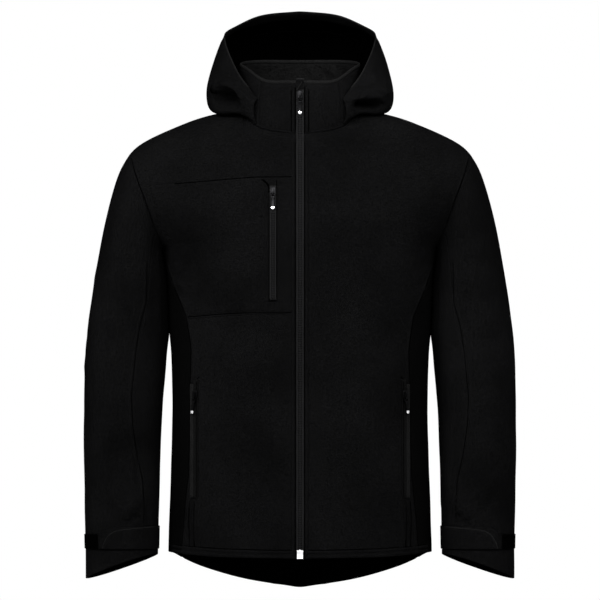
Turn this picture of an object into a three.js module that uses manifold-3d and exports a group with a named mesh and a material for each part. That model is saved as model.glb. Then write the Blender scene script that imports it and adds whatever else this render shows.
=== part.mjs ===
// Hooded softshell jacket, filled out as if worn, hollow and open at neck, hem and cuffs.
// Millimetres, +Z up, front towards -Y, the wearer's left towards +X, neck centre at the origin.

import * as THREE from "three";
import * as BufferGeometryUtils from "three/addons/utils/BufferGeometryUtils.js";
import Module from "manifold-3d";

const wasm = await Module();
wasm.setup();

// Cloth and seams
const clothWall = 2;
const thinWall = 1.4;
const seamGap = 0.3;
const overlayGap = 0.6;
const zipHalf = 6.4;
const frontEdge = zipHalf + seamGap;

// Heights that several pieces share
const chestSeamZ = -328;
const cuffZ = -687;
const shoulderTip = { x: 264, z: -76.5 };
const underarm = { x: 211, z: -225 };

// Body rows from the hem to the neck: width is half the front outline or the armhole edge
const bodyRows = [
  { z: -760, width: 204, front: 121, back: 127, round: 2.3 },
  { z: -690, width: 204, front: 121, back: 128, round: 2.3 },
  { z: -612, width: 201.7, front: 124, back: 131, round: 2.3 },
  { z: -535, width: 199.2, front: 124, back: 129, round: 2.3 },
  { z: -457, width: 197.6, front: 122, back: 125, round: 2.3 },
  { z: -380, width: 200.2, front: 124, back: 128, round: 2.3 },
  { z: -340, width: 203, front: 127, back: 133, round: 2.3 },
  { z: -290, width: 205, front: 131, back: 138, round: 2.3 },
  { z: underarm.z, width: underarm.x, front: 133, back: 144, round: 2.3 },
  { z: -170, width: 232.5, front: 129, back: 146, round: 2.3 },
  { z: -127, width: 248, front: 119, back: 143, round: 2.2 },
  { z: shoulderTip.z, width: shoulderTip.x, front: 102, back: 128, round: 2.05 },
  { z: -61, width: 248, front: 95, back: 119, round: 2 },
  { z: -52, width: 232.5, front: 90, back: 113, round: 2 },
  { z: -35.5, width: 194, front: 76, back: 99, round: 2 },
  { z: -19.5, width: 155, front: 58, back: 88, round: 2 },
  { z: -5, width: 88, front: 36, back: 76, round: 2 },
  { z: 4, width: 75, front: 20, back: 68, round: 2 },
];

// Edges of the body pieces, as seen from the front
const sideSeamRows = [
  { z: -760, x: 186 },
  { z: -690, x: 183 },
  { z: -628, x: 178 },
  { z: -573, x: 172 },
  { z: -496, x: 170 },
  { z: -418, x: 169 },
  { z: -380, x: 167.5 },
  { z: chestSeamZ, x: 175 },
  { z: -283, x: 194 },
  { z: -248, x: 206 },
  { z: -221, x: 211 },
];
const frontHemRows = [
  { x: 0, z: -699 },
  { x: 120, z: -697 },
  { x: 203, z: -691 },
];
const backHemRows = [
  { x: 0, z: -750 },
  { x: 78, z: -738 },
  { x: 155, z: -715.5 },
  { x: 203, z: -691 },
];
const frontNeckRows = [
  { x: 0, z: -46.5 },
  { x: 40, z: -42.5 },
  { x: 64, z: -36 },
  { x: 80, z: -22 },
  { x: 88, z: -5 },
];
const backNeckRows = [
  { x: 0, z: 4 },
  { x: 44, z: 2.5 },
  { x: 80, z: -1.5 },
  { x: 88, z: -5 },
];
const yokeSeamRows = [
  { x: 0, z: -112.5 },
  { x: 70, z: -113 },
  { x: 120, z: -117 },
  { x: 165, z: -121 },
  { x: 248, z: -126.4 },
];
const pocketSeamRows = [
  { x: 0, z: -321.5 },
  { x: 80, z: -321.5 },
  { x: 120, z: -323.5 },
  { x: 175, z: chestSeamZ },
];

// Armhole: an oval seen from the side, its stations counted as angles from the shoulder tip
const armhole = { front: 74, back: 80 };
const yokeAngle = 70;
const sleeveSeamAngle = 128;
const sideAngle = 162 + 2 / 3;
const armholeMidZ = (shoulderTip.z + underarm.z) / 2;
const armholeHalf = (shoulderTip.z - underarm.z) / 2;

const group = new THREE.Group();

// Tables read as smooth curves that never overshoot their rows
function smooth(rows, key, column) {
  const list = [...rows].sort((a, b) => a[key] - b[key]);
  const at = list.map((row) => row[key]);
  const value = list.map((row) => row[column]);
  const rise = at.slice(1).map((x, i) => (value[i + 1] - value[i]) / (x - at[i]));
  const slope = value.map((_, i) => {
    if (i === 0) return rise[0];
    if (i === value.length - 1) return rise[i - 1];
    if (rise[i - 1] * rise[i] <= 0) return 0;
    return (2 * rise[i - 1] * rise[i]) / (rise[i - 1] + rise[i]);
  });
  return (x) => {
    const last = at.length - 2;
    let i = at.findIndex((edge) => x < edge) - 1;
    if (x >= at[last]) i = last;
    if (i < 0) i = 0;
    const width = at[i + 1] - at[i];
    const t = THREE.MathUtils.clamp((x - at[i]) / width, 0, 1);
    const a = (1 + 2 * t) * (1 - t) * (1 - t);
    const b = t * (1 - t) * (1 - t);
    const c = t * t * (3 - 2 * t);
    const d = t * t * (t - 1);
    return a * value[i] + b * width * slope[i] + c * value[i + 1] + d * width * slope[i + 1];
  };
}

function mix(a, b, t) {
  return a + (b - a) * t;
}

function point(x, y, z) {
  return new THREE.Vector3(x, y, z);
}

function degrees(angle) {
  return (angle * Math.PI) / 180;
}

function steps(count, from = 0, to = 1) {
  return Array.from({ length: count + 1 }, (_, i) => mix(from, to, i / count));
}

// A bump that is 1 on the fold's line and fades across and towards its ends
function foldHeight(folds, x, z) {
  let height = 0;
  for (const fold of folds) {
    const alongX = fold.endX - fold.x;
    const alongZ = fold.endZ - fold.z;
    const length = Math.hypot(alongX, alongZ);
    const t = ((x - fold.x) * alongX + (z - fold.z) * alongZ) / (length * length);
    const off = ((x - fold.x) * alongZ - (z - fold.z) * alongX) / length;
    const reach = Math.max(0, Math.abs(t - 0.5) - 0.3) * length;
    height += fold.height * Math.exp(-(off * off + reach * reach) / (fold.spread * fold.spread));
  }
  return height;
}

// Body form: front and back halves that meet at the sides and along the shoulders
const bodyCurve = {};
for (const column of ["width", "front", "back", "round"]) {
  bodyCurve[column] = smooth(bodyRows, "z", column);
}

const bodyFolds = [
  { x: -206, z: -246, endX: -150, endZ: -262, height: 4, spread: 9 },
  { x: -196, z: -268, endX: -158, endZ: -300, height: 3.5, spread: 10 },
  { x: -178, z: -330, endX: -140, endZ: -312, height: 2.5, spread: 9 },
  { x: 206, z: -248, endX: 160, endZ: -266, height: 4, spread: 9 },
  { x: 196, z: -276, endX: 165, endZ: -312, height: 3, spread: 10 },
  { x: -170, z: -612, endX: -176, endZ: -690, height: 3.5, spread: 9 },
  { x: 162, z: -606, endX: 168, endZ: -688, height: 3.5, spread: 9 },
];
const backFolds = [
  { x: -200, z: -250, endX: -120, endZ: -290, height: 5, spread: 14 },
  { x: 200, z: -255, endX: 130, endZ: -285, height: 4, spread: 13 },
  { x: -190, z: -420, endX: -60, endZ: -450, height: 3, spread: 18 },
  { x: 185, z: -450, endX: 50, endZ: -470, height: 3.5, spread: 20 },
];

function armholeReach(z, side) {
  const off = (z - armholeMidZ) / armholeHalf;
  const half = side < 0 ? armhole.front : armhole.back;
  return half * Math.sqrt(Math.max(0, 1 - off * off));
}

function bodyRing(z, side) {
  const depth = side < 0 ? bodyCurve.front(z) : bodyCurve.back(z);
  const round = bodyCurve.round(z);
  const edge = armholeReach(z, side) / depth;
  const width = bodyCurve.width(z) / (1 - edge ** round) ** (1 / round);
  return { depth, round, width };
}

function bodyPoint(x, z, side) {
  const ring = bodyRing(z, side);
  const off = Math.min(1, Math.abs(x) / ring.width);
  const depth = ring.depth * (1 - off ** ring.round) ** (1 / ring.round);
  return point(x, side * depth, z);
}

function bodyValue(x, y, z, side) {
  const ring = bodyRing(z, side);
  return (Math.abs(x) / ring.width) ** ring.round + (Math.abs(y) / ring.depth) ** ring.round;
}

function bodyNormal(p, side) {
  const h = 0.5;
  const value = (x, y, z) => bodyValue(x, y, z, side);
  return point(
    value(p.x + h, p.y, p.z) - value(p.x - h, p.y, p.z),
    value(p.x, p.y + h, p.z) - value(p.x, p.y - h, p.z),
    value(p.x, p.y, p.z + h) - value(p.x, p.y, p.z - h),
  ).normalize();
}

// Sleeve rows from the armhole to the cuff, x and z as seen from the front
const sleeveRows = [
  {
    at: 0, outerX: 264, outerZ: -76.5, innerX: 211, innerZ: -225,
    front: 74, back: 80, midY: 0, seam: 128,
  },
  {
    at: 0.05, outerX: 279.5, outerZ: -103, innerX: 212.5, innerZ: -236,
    front: 75, back: 80, midY: 1, seam: 126,
  },
  {
    at: 0.12, outerX: 293.5, outerZ: -147, innerX: 209.8, innerZ: -256,
    front: 74, back: 78, midY: 3, seam: 123,
  },
  {
    at: 0.2, outerX: 305.5, outerZ: -198, innerX: 207.4, innerZ: -281,
    front: 72, back: 75, midY: 4, seam: 119,
  },
  {
    at: 0.29, outerX: 316, outerZ: -255, innerX: 205.6, innerZ: -314,
    front: 70, back: 73, midY: 5, seam: 116,
  },
  {
    at: 0.38, outerX: 325, outerZ: -312, innerX: 204.2, innerZ: -350,
    front: 68, back: 71, midY: 5, seam: 110,
  },
  {
    at: 0.48, outerX: 332.5, outerZ: -380, innerX: 207, innerZ: -400,
    front: 66, back: 68, midY: 3, seam: 103,
  },
  {
    at: 0.6, outerX: 334.5, outerZ: -457, innerX: 212.6, innerZ: -462,
    front: 63, back: 65, midY: -2, seam: 104,
  },
  {
    at: 0.7, outerX: 335, outerZ: -519, innerX: 215, innerZ: -519,
    front: 60, back: 62, midY: -9, seam: 109,
  },
  {
    at: 0.8, outerX: 334, outerZ: -573, innerX: 216.8, innerZ: -573,
    front: 58, back: 58, midY: -15, seam: 123,
  },
  {
    at: 0.9, outerX: 333, outerZ: -630, innerX: 218, innerZ: -630,
    front: 56, back: 56, midY: -20, seam: 128,
  },
  {
    at: 1, outerX: 331.5, outerZ: cuffZ, innerX: 219.5, innerZ: cuffZ,
    front: 54, back: 54, midY: -24, seam: 128,
  },
];
const sleeveFolds = [
  { x: 300, z: -232, endX: 248, endZ: -246, height: 3, spread: 9 },
  { x: 325, z: -300, endX: 262, endZ: -318, height: 3, spread: 10 },
  { x: 326, z: -345, endX: 268, endZ: -362, height: 3.5, spread: 11 },
  { x: 320, z: -590, endX: 262, endZ: -634, height: 3.5, spread: 11 },
  { x: 244, z: -620, endX: 262, endZ: -642, height: 3, spread: 8 },
];

const sleeveCurve = {};
for (const column of ["outerX", "outerZ", "innerX", "innerZ", "front", "back", "midY", "seam"]) {
  sleeveCurve[column] = smooth(sleeveRows, "at", column);
}

function armholePoint(angle) {
  const z = armholeMidZ + armholeHalf * Math.cos(degrees(angle));
  const side = Math.sin(degrees(angle)) >= 0 ? -1 : 1;
  return point(bodyCurve.width(z), side * armholeReach(z, side), z);
}

function sleeveRing(at, angle) {
  const across = Math.cos(degrees(angle));
  const forward = Math.sin(degrees(angle));
  const x = mix(sleeveCurve.innerX(at), sleeveCurve.outerX(at), (across + 1) / 2);
  const z = mix(sleeveCurve.innerZ(at), sleeveCurve.outerZ(at), (across + 1) / 2);
  const depth = forward >= 0 ? sleeveCurve.front(at) : sleeveCurve.back(at);
  return point(x, sleeveCurve.midY(at) - depth * forward, z);
}

// The sleeve's first ring is bent to lie exactly on the armhole, and the bend soon fades
function sleevePoint(at, angle) {
  const p = sleeveRing(at, angle);
  const bend = Math.max(0, 1 - at / 0.1) ** 2;
  p.addScaledVector(armholePoint(angle).sub(sleeveRing(0, angle)), bend);
  return p;
}

function sleeveNormal(at, angle) {
  const h = 0.004;
  const along = sleevePoint(Math.min(1, at + h), angle).sub(sleevePoint(Math.max(0, at - h), angle));
  const around = sleevePoint(at, angle + 1).sub(sleevePoint(at, angle - 1));
  return around.cross(along).normalize();
}

// Both pieces at an armhole point share one wall direction, which rises at the underarm
function armholeNormal(angle) {
  const p = armholePoint(angle);
  const side = p.y <= 0 ? -1 : 1;
  const under = Math.max(0, -Math.cos(degrees(angle))) ** 2;
  return sleeveNormal(0, angle).add(bodyNormal(p, side)).add(point(0, 0, -1.2 * under)).normalize();
}

// Colours and surfaces of the materials
const finishes = {
  cloth: { color: 0x17171a, roughness: 0.9, metalness: 0 },
  stretch: { color: 0x0e0e10, roughness: 0.95, metalness: 0 },
  tape: { color: 0x2a2a2d, roughness: 0.75, metalness: 0 },
  metal: { color: 0x55565a, roughness: 0.35, metalness: 0.8 },
  silver: { color: 0xc8c9cc, roughness: 0.3, metalness: 0.9 },
  loop: { color: 0x050506, roughness: 1, metalness: 0 },
};

function addPiece(name, geometry, finish) {
  const mesh = new THREE.Mesh(geometry, new THREE.MeshStandardMaterial(finishes[finish]));
  mesh.name = name;
  group.add(mesh);
}

// Triangles of a closed wall between an outer and an inner grid, open or running round
function wallGeometry(outer, inner, around) {
  const rows = outer.length;
  const columns = outer[0].length;
  const points = [...outer.flat(), ...inner.flat()];
  const shift = rows * columns;
  const faces = [];
  const quad = (a, b, c, d) => faces.push([a, b, c], [a, c, d]);
  const spans = around ? columns : columns - 1;
  for (let j = 0; j < rows - 1; j++) {
    for (let i = 0; i < spans; i++) {
      const next = (i + 1) % columns;
      const a = j * columns + i;
      const b = j * columns + next;
      const c = b + columns;
      const d = a + columns;
      quad(a, b, c, d);
      quad(d + shift, c + shift, b + shift, a + shift);
    }
    if (!around) {
      const first = j * columns;
      const last = first + columns - 1;
      quad(first, first + columns, first + columns + shift, first + shift);
      quad(last, last + shift, last + columns + shift, last + columns);
    }
  }
  for (let i = 0; i < spans; i++) {
    const next = (i + 1) % columns;
    const top = (rows - 1) * columns;
    quad(i, i + shift, next + shift, next);
    quad(top + i, top + next, top + next + shift, top + i + shift);
  }
  return solidGeometry(points, faces);
}

// Closed solid from points and faces, turned so that its faces look outward
function solidGeometry(points, faces) {
  let volume = 0;
  for (const [a, b, c] of faces) {
    volume += points[a].dot(points[b].clone().cross(points[c]));
  }
  const turned = volume < 0 ? faces.map(([a, b, c]) => [a, c, b]) : faces;
  const geometry = new THREE.BufferGeometry();
  const numbers = points.flatMap((p) => [p.x, p.y, p.z]);
  geometry.setAttribute("position", new THREE.Float32BufferAttribute(numbers, 3));
  geometry.setIndex(turned.flat());
  return geometry;
}

// How far a border point moves into its piece, so that two pieces leave the seam gap
function borderMove(grid, normals, j, i, stepJ, stepI) {
  const rows = grid.length;
  const columns = grid[0].length;
  const clampJ = (k) => Math.min(rows - 1, Math.max(0, k));
  const clampI = (k) => Math.min(columns - 1, Math.max(0, k));
  const before = grid[clampJ(j - stepI)][clampI(i - stepJ)];
  const after = grid[clampJ(j + stepI)][clampI(i + stepJ)];
  const move = after.clone().sub(before).cross(normals[j][i]).normalize();
  const inside = grid[clampJ(j + stepJ)][clampI(i + stepI)].clone().sub(grid[j][i]);
  if (move.dot(inside) < 0) move.negate();
  return move.multiplyScalar(seamGap / 2);
}

// A piece of cloth: points on its outer face, wall directions, and its borders drawn in
function addCloth(name, grid, normals, finish, { wall = clothWall, around = false, drawn = true } = {}) {
  const rows = grid.length;
  const columns = grid[0].length;
  const outer = grid.map((row, j) => row.map((p, i) => {
    const moved = p.clone();
    if (!drawn) return moved;
    if (j === 0) moved.add(borderMove(grid, normals, j, i, 1, 0));
    if (j === rows - 1) moved.add(borderMove(grid, normals, j, i, -1, 0));
    if (!around && i === 0) moved.add(borderMove(grid, normals, j, i, 0, 1));
    if (!around && i === columns - 1) moved.add(borderMove(grid, normals, j, i, 0, -1));
    return moved;
  }));
  const inner = outer.map((row, j) => row.map((p, i) => p.clone().addScaledVector(normals[j][i], -wall)));
  addPiece(name, wallGeometry(outer, inner, around), finish);
}

function mirrored(grid) {
  return grid.map((row) => row.map((p) => point(-p.x, p.y, p.z)));
}

// Skin of the body at a place seen from the front or back, with its folds raised
function bodySkin(x, z, side) {
  const p = bodyPoint(x, z, side);
  const normal = bodyNormal(p, side);
  const folds = side < 0 ? bodyFolds : backFolds;
  const fromSide = THREE.MathUtils.smoothstep(Math.abs(p.y), 0, 40);
  const belowArmhole = THREE.MathUtils.smoothstep(underarm.z - z, 0, 25);
  const height = foldHeight(folds, x, z) * fromSide * belowArmhole;
  return { p: p.addScaledVector(normal, height), normal };
}

// Patch of the body between four borders given as front-view places from the same corners
function bodyPatch(bottom, top, left, right, side) {
  const columns = bottom.length - 1;
  const rows = left.length - 1;
  const places = left.map((_, j) => bottom.map((_, i) => {
    const u = i / columns;
    const v = j / rows;
    const blend = (key) =>
      mix(bottom[i][key], top[i][key], v) + mix(left[j][key], right[j][key], u)
      - mix(mix(bottom[0][key], bottom[columns][key], u), mix(top[0][key], top[columns][key], u), v);
    return { x: blend("x"), z: blend("z") };
  }));
  const skins = places.map((row) => row.map((place) => bodySkin(place.x, place.z, side)));
  return {
    grid: skins.map((row) => row.map((s) => s.p)),
    normals: skins.map((row) => row.map((s) => s.normal)),
  };
}

// Stations that neighbouring pieces share along their borders
const sideSeam = smooth(sideSeamRows, "z", "x");
const frontHem = smooth(frontHemRows, "x", "z");
const backHem = smooth(backHemRows, "x", "z");
const frontNeck = smooth(frontNeckRows, "x", "z");
const backNeck = smooth(backNeckRows, "x", "z");
const yokeSeam = smooth(yokeSeamRows, "x", "z");
const pocketSeam = smooth(pocketSeamRows, "x", "z");
const frontNeckStations = [frontEdge, 26, 45, 64, 74, 81, 86, 88];
const backNeckStations = [88, 86, 80, 66, 45, 22, 0];
const shoulderStations = [-5, -17, -30, -46, -62, shoulderTip.z];
const hemRows = 8;
const chestRows = 4;
const underAngles = steps(2, sideAngle, sleeveSeamAngle);
const lowerAngles = [...underAngles, ...steps(4, sleeveSeamAngle, yokeAngle).slice(1)];
const upperAngles = steps(5, yokeAngle, 0);

// Height on the centre line that belongs to a height on the side border
const centreHeight = smooth([
  { side: -693, centre: -699 },
  { side: chestSeamZ, centre: pocketSeam(0) },
  { side: -222, centre: -213 },
  { side: -126.4, centre: yokeSeam(0) },
  { side: shoulderTip.z, centre: frontNeck(frontEdge) },
], "side", "centre");

function armholePlace(angle) {
  const p = armholePoint(angle);
  return { x: p.x, z: p.z, angle };
}

function sidePlaces(side) {
  const hem = side < 0 ? frontHem : backHem;
  const foot = hem(sideSeam(-693));
  const low = steps(hemRows, foot, chestSeamZ).map((z) => ({ x: sideSeam(z), z }));
  const top = armholePoint(sideAngle).z;
  const high = steps(chestRows, chestSeamZ, top).slice(1, -1).map((z) => ({ x: sideSeam(z), z }));
  return [...low, ...high];
}

function shoulderPlaces() {
  return shoulderStations.map((z) => ({ x: bodyCurve.width(z), z }));
}

function frontTopPlaces() {
  const neck = frontNeckStations.map((x) => ({ x, z: frontNeck(x) }));
  return [...neck, ...shoulderPlaces().slice(1)];
}

function centrePlaces(right) {
  return right.map((place) => ({ x: frontEdge, z: centreHeight(place.z) }));
}

// A cross seam from the centre line to a border place, its stations between hem and top ones
function crossSeamPlaces(curve, end, bottom, top, height) {
  const base = bottom.map((place, i) => mix(place.x, top[i].x, height));
  const stretch = (end.x - frontEdge) / (base[base.length - 1] - frontEdge);
  return base.map((x, i) => {
    const across = frontEdge + (x - frontEdge) * stretch;
    return i === base.length - 1 ? end : { x: across, z: curve(across) };
  });
}

// Patch of one side, hand +1 for the wearer's left, its wall turned along the armhole
function sidedPatch(bottom, top, left, right, hand) {
  const turn = (places) => places.map((place) => ({ x: hand * place.x, z: place.z }));
  const patch = bodyPatch(turn(bottom), turn(top), turn(left), turn(right), -1);
  right.forEach((place, j) => {
    if (place.angle === undefined) return;
    const normal = armholeNormal(place.angle);
    patch.normals[j][bottom.length - 1] = point(hand * normal.x, normal.y, normal.z);
  });
  return patch;
}

function addFronts() {
  const top = frontTopPlaces();
  const side = sidePlaces(-1);
  const foot = side[0];
  const bottom = steps(top.length - 1, frontEdge, foot.x).map((x) => ({ x, z: frontHem(x) }));
  bottom[bottom.length - 1] = foot;
  const lowerHole = lowerAngles.map(armholePlace);
  const upperHole = upperAngles.map(armholePlace);

  const wholeBorder = [...side, ...lowerHole, ...upperHole.slice(1)];
  const whole = sidedPatch(bottom, top, centrePlaces(wholeBorder), wholeBorder, 1);
  addCloth("front_left", whole.grid, whole.normals, "cloth");

  const chestEnd = side[hemRows];
  const pocketTop = crossSeamPlaces(yokeSeam, upperHole[0], bottom, top, 0.8);
  const pocketFoot = crossSeamPlaces(pocketSeam, chestEnd, bottom, top, 0.45);
  const lowBorder = side.slice(0, hemRows + 1);
  const low = sidedPatch(bottom, pocketFoot, centrePlaces(lowBorder), lowBorder, -1);
  addCloth("front_lower_right", low.grid, low.normals, "cloth");

  const midBorder = [...side.slice(hemRows), ...lowerHole];
  const middle = sidedPatch(pocketFoot, pocketTop, centrePlaces(midBorder), midBorder, -1);
  addCloth("chest_pocket_panel", middle.grid, middle.normals, "cloth");

  const yoke = sidedPatch(pocketTop, top, centrePlaces(upperHole), upperHole, -1);
  addCloth("front_yoke_right", yoke.grid, yoke.normals, "cloth");
}

function addBack() {
  const side = sidePlaces(1);
  const hole = [...lowerAngles, ...upperAngles.slice(1)].map((angle) => armholePlace(360 - angle));
  const right = [...side, ...hole];
  const left = right.map((place) => ({ x: -place.x, z: place.z }));
  const neck = backNeckStations.map((x) => ({ x, z: backNeck(x) }));
  const rightTop = [...neck.reverse(), ...shoulderPlaces().slice(1)];
  const leftTop = rightTop.slice(1).reverse().map((place) => ({ x: -place.x, z: place.z }));
  const top = [...leftTop, ...rightTop];
  const bottom = steps(top.length - 1, -side[0].x, side[0].x).map((x) => ({ x, z: backHem(Math.abs(x)) }));
  const patch = bodyPatch(bottom, top, left, right, 1);
  right.forEach((place, j) => {
    if (place.angle === undefined) return;
    const normal = armholeNormal(place.angle);
    patch.normals[j][top.length - 1] = normal;
    patch.normals[j][0] = point(-normal.x, normal.y, normal.z);
  });
  addCloth("back", patch.grid, patch.normals, "cloth");
}

// Points set evenly along the straight runs of a line
function alongRuns(points, perRun) {
  const list = [];
  for (let k = 0; k < points.length - 1; k++) {
    for (const t of steps(perRun).slice(0, -1)) {
      list.push(points[k].clone().lerp(points[k + 1], t));
    }
  }
  list.push(points[points.length - 1]);
  return list;
}

// Side panel: rings round the side between the front and back seams, up to the underarm
function addSidePanel(name, hand) {
  const columns = 8;
  const front = sidePlaces(-1);
  const back = sidePlaces(1);
  const grid = [];
  const normals = [];
  front.forEach((frontPlace, j) => {
    const backPlace = back[j];
    const angleOf = (place) => {
      const round = bodyCurve.round(place.z);
      return Math.acos(Math.min(1, place.x / bodyCurve.width(place.z)) ** (round / 2));
    };
    const row = steps(columns, 0, 1).map((t) => {
      const angle = mix(-angleOf(frontPlace), angleOf(backPlace), t);
      const side = angle <= 0 ? -1 : 1;
      if (t === 0) return bodySkin(hand * frontPlace.x, frontPlace.z, -1);
      if (t === 1) return bodySkin(hand * backPlace.x, backPlace.z, 1);
      let z = mix(frontPlace.z, backPlace.z, t);
      const x = bodyCurve.width(z) * Math.cos(angle) ** (2 / bodyCurve.round(z));
      if (j === 0) z = side < 0 ? frontHem(x) : backHem(x);
      return bodySkin(hand * x, z, side);
    });
    grid.push(row.map((skin) => skin.p));
    normals.push(row.map((skin) => skin.normal));
  });
  const turn = (p) => point(hand * p.x, p.y, p.z);
  const angles = [sideAngle, 180, 360 - sideAngle];
  grid.push(alongRuns(angles.map((angle) => turn(armholePoint(angle))), columns / 2));
  normals.push(alongRuns(angles.map((angle) => turn(armholeNormal(angle))), columns / 2));
  addCloth(name, grid, normals, "stretch");
}

addFronts();
addBack();
addSidePanel("side_panel_left", 1);
addSidePanel("side_panel_right", -1);

// Sleeve: a top piece from back seam over the shoulder to front seam, and an under piece
const sleeveStations = [0, 0.03, ...steps(17, 0.065, 1)];
const topAngles = [...lowerAngles.slice(2), ...upperAngles.slice(1)];

function sleeveSkin(at, angle, hand) {
  const p = sleevePoint(at, angle);
  const normal = at === 0 ? armholeNormal(angle) : sleeveNormal(at, angle);
  const forward = Math.max(0, Math.sin(degrees(angle)));
  const height = foldHeight(sleeveFolds, p.x, p.z) * forward * Math.min(1, at / 0.1);
  p.addScaledVector(normal, height);
  return { p: point(hand * p.x, p.y, p.z), normal: point(hand * normal.x, normal.y, normal.z) };
}

// Columns keep their share of the angle between the two seams as the seams wander
function addSleevePiece(name, angles, hand) {
  const skins = sleeveStations.map((at) => angles.map((angle) => {
    const seam = sleeveCurve.seam(at);
    const top = Math.abs(angle) <= sleeveSeamAngle;
    const turned = top
      ? (angle * seam) / sleeveSeamAngle
      : 180 + ((angle - 180) * (180 - seam)) / (180 - sleeveSeamAngle);
    return sleeveSkin(at, turned, hand);
  }));
  const grid = skins.map((row) => row.map((skin) => skin.p));
  const normals = skins.map((row) => row.map((skin) => skin.normal));
  addCloth(name, grid, normals, "cloth");
}

function addSleeve(side, hand) {
  const back = topAngles.slice(0, -1).map((angle) => -angle);
  addSleevePiece("sleeve_top_" + side, [...back, ...[...topAngles].reverse()], hand);
  const half = [...lowerAngles.slice(0, 3)].reverse();
  const under = [...half, 180, ...[...half].reverse().map((angle) => 360 - angle)];
  addSleevePiece("sleeve_under_" + side, under, hand);
}

addSleeve("left", 1);
addSleeve("right", -1);

// Cuff: a shaped end below the cuff line, a tab across the front and the patch it closes on
const cuffAngles = [...topAngles.slice(0, -1).map((angle) => -angle), ...[...topAngles].reverse()];
const ringAngles = [
  ...cuffAngles,
  ...lowerAngles.slice(0, 2).reverse(),
  180, 360 - 162 - 2 / 3, 360 - 145 - 1 / 3,
];
const tabTopRows = [
  { angle: 176, z: -651 },
  { angle: 90, z: -652 },
  { angle: 68, z: -655 },
  { angle: 60, z: -661 },
  { angle: 55, z: -669 },
  { angle: 53, z: -679 },
];

function cuffEdge(angle) {
  const across = (Math.cos(degrees(angle)) + 1) / 2;
  return mix(-694.5, -732, across) + 5.3 * Math.sin(degrees(angle));
}

function sleeveStation(z) {
  return mix(0.9, 1, (-630 - z) / (-630 - cuffZ));
}

// Overlay on the sleeve: points lifted off its skin, one row per share of the height
function sleeveOverlay(name, angles, lowZ, highZ, lift, wall, hand, finish) {
  const skins = steps(2).map((t) => angles.map((angle) => {
    const z = mix(lowZ(angle), highZ(angle), t);
    return sleeveSkin(sleeveStation(z), angle, hand);
  }));
  const grid = skins.map((row) => row.map((skin) => skin.p.addScaledVector(skin.normal, lift + wall)));
  const normals = skins.map((row) => row.map((skin) => skin.normal));
  addCloth(name, grid, normals, finish, { wall });
}

function addCuff(side, hand) {
  const skins = steps(2).map((t) => ringAngles.map((angle) => {
    const skin = sleeveSkin(1, angle, hand);
    skin.normal = sleeveNormal(1, angle).setX(hand * sleeveNormal(1, angle).x).setZ(0).normalize();
    skin.p.z = mix(cuffZ, cuffEdge(angle), t);
    return skin;
  }));
  const grid = skins.map((row) => row.map((skin) => skin.p));
  const normals = skins.map((row) => row.map((skin) => skin.normal));
  addCloth("cuff_end_" + side, grid, normals, "cloth", { around: true });
  const tabTop = smooth(tabTopRows, "angle", "z");
  const tabAngles = [53, 56, 63, 70, 84.5, 99, 113.5, 128, 145.33, 162.67, 174];
  sleeveOverlay("cuff_tab_" + side, tabAngles, () => cuffZ + 1, tabTop, overlayGap, 1.6, hand, "cloth");
  const patchAngles = [-14, 0, 14, 28, 42, 50];
  const patchTop = () => -664;
  sleeveOverlay("loop_patch_" + side, patchAngles, () => cuffZ + 1, patchTop, overlayGap, 1, hand, "loop");
}

addCuff("left", 1);
addCuff("right", -1);

// Collar: front and back pieces on the neck seam, their top edge given station by station
const collarWall = 2.4;
const collarRows = [
  { topX: 6.7, topY: -77, topZ: 31 },
  { topX: 26, topY: -76, topZ: 31 },
  { topX: 44, topY: -72.5, topZ: 31 },
  { topX: 60, topY: -64, topZ: 35 },
  { topX: 76, topY: -48, topZ: 47 },
  { topX: 86, topY: -28, topZ: 54 },
  { topX: 91.5, topY: -11, topZ: 57 },
  { topX: 93, topY: 2, topZ: 59 },
  { topX: 91.5, topY: 15, topZ: 61 },
  { topX: 87, topY: 28, topZ: 63 },
  { topX: 75, topY: 44, topZ: 65 },
  { topX: 51, topY: 57, topZ: 66 },
  { topX: 25, topY: 64, topZ: 66 },
  { topX: 0, topY: 66, topZ: 66 },
];
const frontStations = 3;
const binding = { high: 5.4, thick: 4.2 };

// Wall directions worked out from a grid's own points, facing away from a middle line
function gridNormals(grid, middle) {
  return grid.map((row, j) => row.map((p, i) => {
    const below = grid[Math.max(0, j - 1)][i];
    const above = grid[Math.min(grid.length - 1, j + 1)][i];
    const before = row[Math.max(0, i - 1)];
    const after = row[Math.min(row.length - 1, i + 1)];
    const normal = after.clone().sub(before).cross(above.clone().sub(below)).normalize();
    return normal.dot(p.clone().sub(middle)) < 0 ? normal.negate() : normal;
  }));
}

function neckLine() {
  const front = frontNeckStations.map((x) => bodyPoint(x, frontNeck(x), -1));
  const back = backNeckStations.slice(1).map((x) => bodyPoint(x, backNeck(x), 1));
  return [...front, ...back];
}

// Half a collar grown from the neck line, then the whole ring from centre front to centre front
function collarRing() {
  const neck = neckLine();
  const half = steps(4).map((t) => neck.map((foot, i) => {
    const row = collarRows[i];
    const p = foot.clone().lerp(point(row.topX, row.topY, row.topZ), t);
    const swell = 2.5 * Math.sin(Math.PI * t);
    const out = point(p.x, p.y, 0).normalize();
    return i < 1 ? p : p.addScaledVector(out, swell * Math.min(1, i / frontStations));
  }));
  return half.map((row) => {
    const other = row.slice(0, -1).reverse().map((p) => point(-p.x, p.y, p.z));
    return [...row, ...other];
  });
}

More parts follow.
